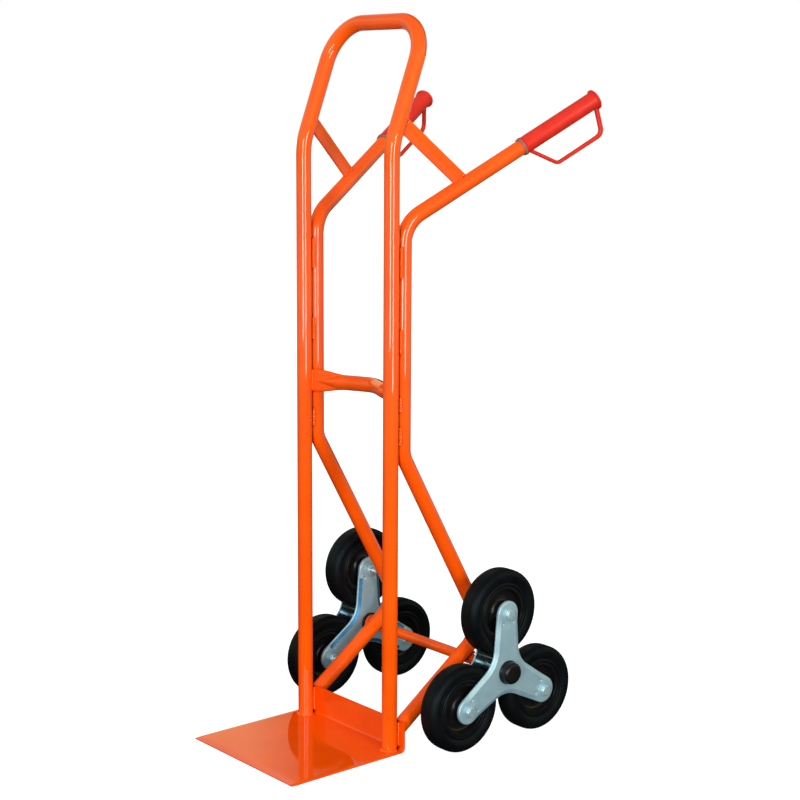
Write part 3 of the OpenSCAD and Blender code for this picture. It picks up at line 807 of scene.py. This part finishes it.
def wheel_bolts(name, side, centre, outer_x, inner_x):
    """Three bolts from the outside, and their nuts with the threaded ends standing through."""
    outward = Vector((side, 0, 0))
    heads, nuts = bmesh.new(), bmesh.new()
    pitch = 1.5 * MM
    thread_len = 27 * MM
    for turn in arm_turns():
        spot = Matrix.Rotation(turn, 2) @ Vector((0, STAR_R))
        at = Vector((outer_x + side * WASHER_T, centre.y + spot.x * MM, centre.z + spot.y * MM))
        hex_block(heads, at, outward, HEAD_T, False)
        profile = [(BOLT_R * 0.7, -BOLT_LEN), (BOLT_R * 0.92, -BOLT_LEN + 0.8 * MM)]
        for k in range(int(thread_len / pitch)):
            low = -BOLT_LEN + 0.8 * MM + k * pitch
            profile += [(BOLT_R, low + pitch * 0.45), (BOLT_R, low + pitch * 0.6)]
            profile.append((BOLT_R * 0.9, low + pitch * 0.98))
        profile += [(BOLT_R, -BOLT_LEN + thread_len + 2 * MM), (BOLT_R, 0.2 * MM)]
        turned(heads, profile, at, outward, 28)
        nut_at = Vector((inner_x - side * WASHER_T, at.y, at.z))
        hex_block(nuts, nut_at, -outward, NUT_T, True)
    add_piece(f"{name}_hex_bolts", heads, ZINC_BOLT, f"{name}_star", [f"{name}_wheel_bolts"])
    add_piece(f"{name}_hex_nuts", nuts, ZINC_BOLT, f"{name}_star", [f"{name}_wheel_nuts"])


def end_cap(name, side, centre, outer_x):
    """The black push-on cap over the axle's end."""
    low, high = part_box(f"{name}_end_cap")
    reach = high.x - low.x
    cap_r = (high.z - low.z) / 2
    dome_r = cap_r - 1.5 * MM
    profile = [(cap_r - 5 * MM, 0), (cap_r - 0.4 * MM, 0), (cap_r, 0.5 * MM)]
    profile += [(cap_r, 3.3 * MM), (cap_r - 0.5 * MM, 4 * MM)]
    profile += [(dome_r, 4.3 * MM), (dome_r - 0.3 * MM, reach * 0.5)]
    curve_r = 6 * MM
    for k in range(9):
        t = math.pi / 2 * k / 8
        out = dome_r - 0.5 * MM - curve_r * (1 - math.cos(t))
        profile.append((out, reach - 0.6 * MM - curve_r * (1 - math.sin(t))))
    profile += [(dome_r * 0.4, reach - 0.15 * MM), (1 * MM, reach)]
    bm = bmesh.new()
    turned(bm, profile, Vector((outer_x, centre.y, centre.z)), Vector((side, 0, 0)), 64)
    add_piece(f"{name}_hub_cap", bm, BLACK, f"{name}_star", [f"{name}_end_cap"])


# ---------------------------------------------------------------- wheels

# Half of the tyre's section, as (radius, distance from the middle plane) in mm, from the seat to the tread
TYRE_HALF = [
    (50.1, 15.6), (50.5, 16.6), (51.5, 17.2), (52.9, 17.3), (54.0, 16.8), (54.9, 15.9), (55.9, 15.8),
    (57.2, 16.5), (60.0, 17.8), (63.5, 18.9), (67.0, 19.6), (70.0, 19.8), (72.6, 19.4), (73.2, 18.8),
    (73.9, 19.0), (75.6, 18.1), (77.3, 16.6), (78.5, 14.8), (79.0, 13.6), (78.4, 13.1), (79.4, 12.3),
    (79.8, 10.2), (79.9, 8.6), (79.1, 8.2),
    (79.1, 7.4), (79.95, 7.0), (80.0, 3.4), (79.2, 3.0), (79.2, 2.2), (80.0, 1.8),
]

# Half of the rim's section, from the bore to the ring on which the tyre sits
RIM_HALF = [
    (10.1, 24.4), (17.6, 24.6), (19.0, 23.4), (19.4, 8.5), (21.0, 6.2), (24.0, 5.0), (38.0, 4.6), (41.0, 5.6),
    (42.6, 8.2), (43.4, 14.6), (44.4, 16.0), (49.0, 16.0), (49.9, 15.0),
]


def both_halves(half):
    """The whole closed section, in metres, from its half."""
    points = [(r * MM, x * MM) for r, x in half]
    return points + [(r, -x) for r, x in reversed(points)]


def wheel(name, which, centre):
    axis = Vector((1, 0, 0))
    body = f"{name}_{which}_wheel"
    bm = bmesh.new()
    turned(bm, both_halves(TYRE_HALF), centre, axis, 128, loop=True)
    add_piece(f"{name}_{which}_rubber", bm, RUBBER, body, [f"{name}_{which}_tyre"], 50)

    bm = bmesh.new()
    turned(bm, both_halves(RIM_HALF), centre, axis, 96, loop=True)
    add_piece(f"{name}_{which}_wheel_disc", bm, BLACK, body, [f"{name}_{which}_rim"], 40)


# ---------------------------------------------------------------- the truck

loop_tube()
toe_sheet()
crossbar_tube()
frame_beads()
for name, side in SIDES.items():
    rail_tube(name, side)
    strut_bar(name, side)
    grip(name, side)
    hub = joint_at[f"{name}_star_turn"]
    outer_x = hub.x + side * (STAR_GAP / 2 + STAR_T)
    inner_x = hub.x - side * (STAR_GAP / 2 + STAR_T)
    star_plate(name, side, hub, outer_x, side)
    star_plate(name, side, hub, inner_x, -side)
    wheel_bolts(name, side, hub, outer_x, inner_x)
    end_cap(name, side, hub, outer_x)
    for which in WHEELS:
        wheel(name, which, joint_at[f"{name}_{which}_wheel_turn"])

# CAD nodes whose shape stays as it is
KEPT = {"axle": TUBE_PAINT}
for name in SIDES:
    KEPT[f"{name}_axle_collar"] = TUBE_PAINT
    KEPT[f"{name}_axle_retainer"] = ZINC
    KEPT[f"{name}_hub_sleeve"] = ZINC_SLEEVE_AND_SHADE
    KEPT[f"{name}_hub_bushes"] = BLACK
    KEPT[f"{name}_wheel_washers"] = ZINC
    KEPT[f"{name}_wheel_spacers"] = ZINC
    KEPT[f"{name}_grip_ring"] = GREY
for node, finish in KEPT.items():
    mesh = frame["nodes"][node].data
    mesh.materials.clear()
    mesh.materials.append(finish)
    mesh.polygons.foreach_set("use_smooth", [True] * len(mesh.polygons))
    mesh.set_sharp_from_angle(angle=math.radians(40))

# ---------------------------------------------------------------- stage, light and camera


def by_distance(tree, stops, reach):
    """A grey that follows the distance from the truck. stops are (share of reach, grey)."""
    coordinates = tree.nodes.new("ShaderNodeTexCoord")
    distance = tree.nodes.new("ShaderNodeVectorMath")
    distance.operation = "LENGTH"
    tree.links.new(coordinates.outputs["Object"], distance.inputs[0])
    share = tree.nodes.new("ShaderNodeMapRange")
    share.inputs["From Max"].default_value = reach
    tree.links.new(distance.outputs["Value"], share.inputs["Value"])
    return ramp(tree, share.outputs["Result"], [(at, (grey, grey, grey)) for at, grey in stops])


def floor():
    """A pale floor. What it sends on to the truck is dim close by and brighter far off."""
    bm = bmesh.new()
    bmesh.ops.create_grid(bm, x_segments=1, y_segments=1, size=40)
    mesh = bpy.data.meshes.new("floor")
    bm.to_mesh(mesh)
    bm.free()
    ground = bpy.data.objects.new("floor", mesh)
    bpy.context.scene.collection.objects.link(ground)
    finish = bpy.data.materials.new("floor_white")
    finish.use_nodes = True
    tree = finish.node_tree
    tree.nodes.clear()
    white = tree.nodes.new("ShaderNodeBsdfDiffuse")
    white.inputs["Color"].default_value = (0.45, 0.45, 0.45, 1)
    glow = tree.nodes.new("ShaderNodeEmission")
    tree.links.new(by_distance(tree, [(0.0, 0.90), (0.25, 0.95), (0.5, 1.0)], 8), glow.inputs["Color"])
    seen = tree.nodes.new("ShaderNodeAddShader")
    tree.links.new(white.outputs["BSDF"], seen.inputs[0])
    tree.links.new(glow.outputs["Emission"], seen.inputs[1])
    sent = tree.nodes.new("ShaderNodeEmission")
    tree.links.new(by_distance(tree, [(0.06, 0.03), (0.25, 0.14), (0.6, 0.55)], 10), sent.inputs["Color"])
    path = tree.nodes.new("ShaderNodeLightPath")
    mix = tree.nodes.new("ShaderNodeMixShader")
    output = tree.nodes.new("ShaderNodeOutputMaterial")
    tree.links.new(path.outputs["Is Camera Ray"], mix.inputs["Fac"])
    tree.links.new(sent.outputs["Emission"], mix.inputs[1])
    tree.links.new(seen.outputs["Shader"], mix.inputs[2])
    tree.links.new(mix.outputs["Shader"], output.inputs["Surface"])
    mesh.materials.append(finish)
    ground.location.z = -0.0004


def area_light(name, azimuth, elevation, distance, size, power, target=(0, 0.05, 0.65)):
    """A softbox seen from the truck at that azimuth and elevation. Azimuth 0 is in front, 90 to the right."""
    a, e = math.radians(azimuth), math.radians(elevation)
    away = Vector((math.sin(a) * math.cos(e), -math.cos(a) * math.cos(e), math.sin(e)))
    lamp = bpy.data.lights.new(name, "AREA")
    lamp.shape = "RECTANGLE"
    lamp.size, lamp.size_y = size
    lamp.energy = power
    holder = bpy.data.objects.new(name, lamp)
    holder.location = Vector(target) + away * distance
    holder.rotation_mode = "QUATERNION"
    holder.rotation_quaternion = (-away).to_track_quat("-Z", "Y")
    bpy.context.scene.collection.objects.link(holder)


def towards(tree, coordinates, direction, near, far, low, high):
    """low to high as the world's direction turns towards direction, between the dot products near and far."""
    dot = tree.nodes.new("ShaderNodeVectorMath")
    dot.operation = "DOT_PRODUCT"
    dot.inputs[1].default_value = direction
    tree.links.new(coordinates.outputs["Generated"], dot.inputs[0])
    share = tree.nodes.new("ShaderNodeMapRange")
    share.inputs["From Min"].default_value = near
    share.inputs["From Max"].default_value = far
    share.inputs["To Min"].default_value = low
    share.inputs["To Max"].default_value = high
    tree.links.new(dot.outputs["Value"], share.inputs["Value"])
    return share.outputs["Result"]


def world_light():
    """White where the camera looks past the truck. What lights the truck is dimmer, most of all low down.

    Its mirror image in the paint and the zinc has a dark ceiling and a warm wall low down.
    """
    world = bpy.data.worlds.new("studio")
    bpy.context.scene.world = world
    world.use_nodes = True
    tree = world.node_tree
    tree.nodes.clear()
    coordinates = tree.nodes.new("ShaderNodeTexCoord")
    split = tree.nodes.new("ShaderNodeSeparateXYZ")
    tree.links.new(coordinates.outputs["Generated"], split.inputs["Vector"])
    soft = ramp(tree, split.outputs["Z"], [
        (0.0, (0.24, 0.23, 0.21)), (0.3, (0.64, 0.62, 0.54)),
        (0.6, (0.75, 0.75, 0.75)), (1.0, (0.95, 0.95, 0.95)),
    ])
    sharp = ramp(tree, split.outputs["Z"], [
        (0.0, (0.42, 0.42, 0.19)), (0.3, (1.15, 1.12, 0.56)), (0.45, (0.75, 0.75, 0.70)),
        (0.6, (0.36, 0.36, 0.36)), (1.0, (0.25, 0.25, 0.25)),
    ])
    path = tree.nodes.new("ShaderNodeLightPath")
    shade = tree.nodes.new("ShaderNodeMix")
    shade.data_type = "RGBA"
    tree.links.new(path.outputs["Is Glossy Ray"], shade.inputs["Factor"])
    tree.links.new(soft, shade.inputs["A"])
    tree.links.new(sharp, shade.inputs["B"])
    room = tree.nodes.new("ShaderNodeBackground")
    tree.links.new(shade.outputs["Result"], room.inputs["Color"])
    behind = towards(tree, coordinates, (-0.76, 0.65, 0), 0.35, 0.65, 0, 1)
    to_the_right = towards(tree, coordinates, (0.65, 0.76, 0), -0.09, -0.04, 0, 0.92)
    dimming = tree.nodes.new("ShaderNodeMath")
    dimming.operation = "MULTIPLY"
    tree.links.new(behind, dimming.inputs[0])
    tree.links.new(to_the_right, dimming.inputs[1])
    strength = tree.nodes.new("ShaderNodeMath")
    strength.operation = "SUBTRACT"
    strength.inputs[0].default_value = 1.0
    tree.links.new(dimming.outputs["Value"], strength.inputs[1])
    tree.links.new(strength.outputs["Value"], room.inputs["Strength"])
    seen = tree.nodes.new("ShaderNodeBackground")
    seen.inputs["Color"].default_value = (1, 1, 1, 1)
    seen.inputs["Strength"].default_value = 1.0
    mix = tree.nodes.new("ShaderNodeMixShader")
    output = tree.nodes.new("ShaderNodeOutputWorld")
    tree.links.new(path.outputs["Is Camera Ray"], mix.inputs["Fac"])
    tree.links.new(room.outputs["Background"], mix.inputs[1])
    tree.links.new(seen.outputs["Background"], mix.inputs[2])
    tree.links.new(mix.outputs["Shader"], output.inputs["Surface"])


def camera():
    """The photograph's viewpoint: azimuth 0 looks at the front, 90 at the right-hand side."""
    azimuth, elevation, roll = (math.radians(a) for a in (49.69, 9.75, 0.32))
    flat = math.cos(elevation)
    back = Vector((math.sin(azimuth) * flat, -math.cos(azimuth) * flat, math.sin(elevation)))
    level = Vector((math.cos(azimuth), math.sin(azimuth), 0))
    upright = back.cross(level)
    right = level * math.cos(roll) + upright * math.sin(roll)
    up = upright * math.cos(roll) - level * math.sin(roll)
    lens = bpy.data.cameras.new("camera")
    lens.sensor_width = 36
    lens.lens = 78.52
    lens.clip_start, lens.clip_end = 0.05, 60
    holder = bpy.data.objects.new("camera", lens)
    holder.matrix_world = Matrix((right, up, back)).transposed().to_4x4()
    holder.location = (2.4321, -1.9363, 1.1638)
    bpy.context.scene.collection.objects.link(holder)
    bpy.context.scene.camera = holder


floor()
world_light()
area_light("box_left", 35, 7.5, 4.2, (0.8, 2.0), 85)
area_light("box_right", 77, 5.5, 4.2, (0.7, 2.1), 86)
camera()
bpy.context.scene.view_settings.view_transform = "Standard"
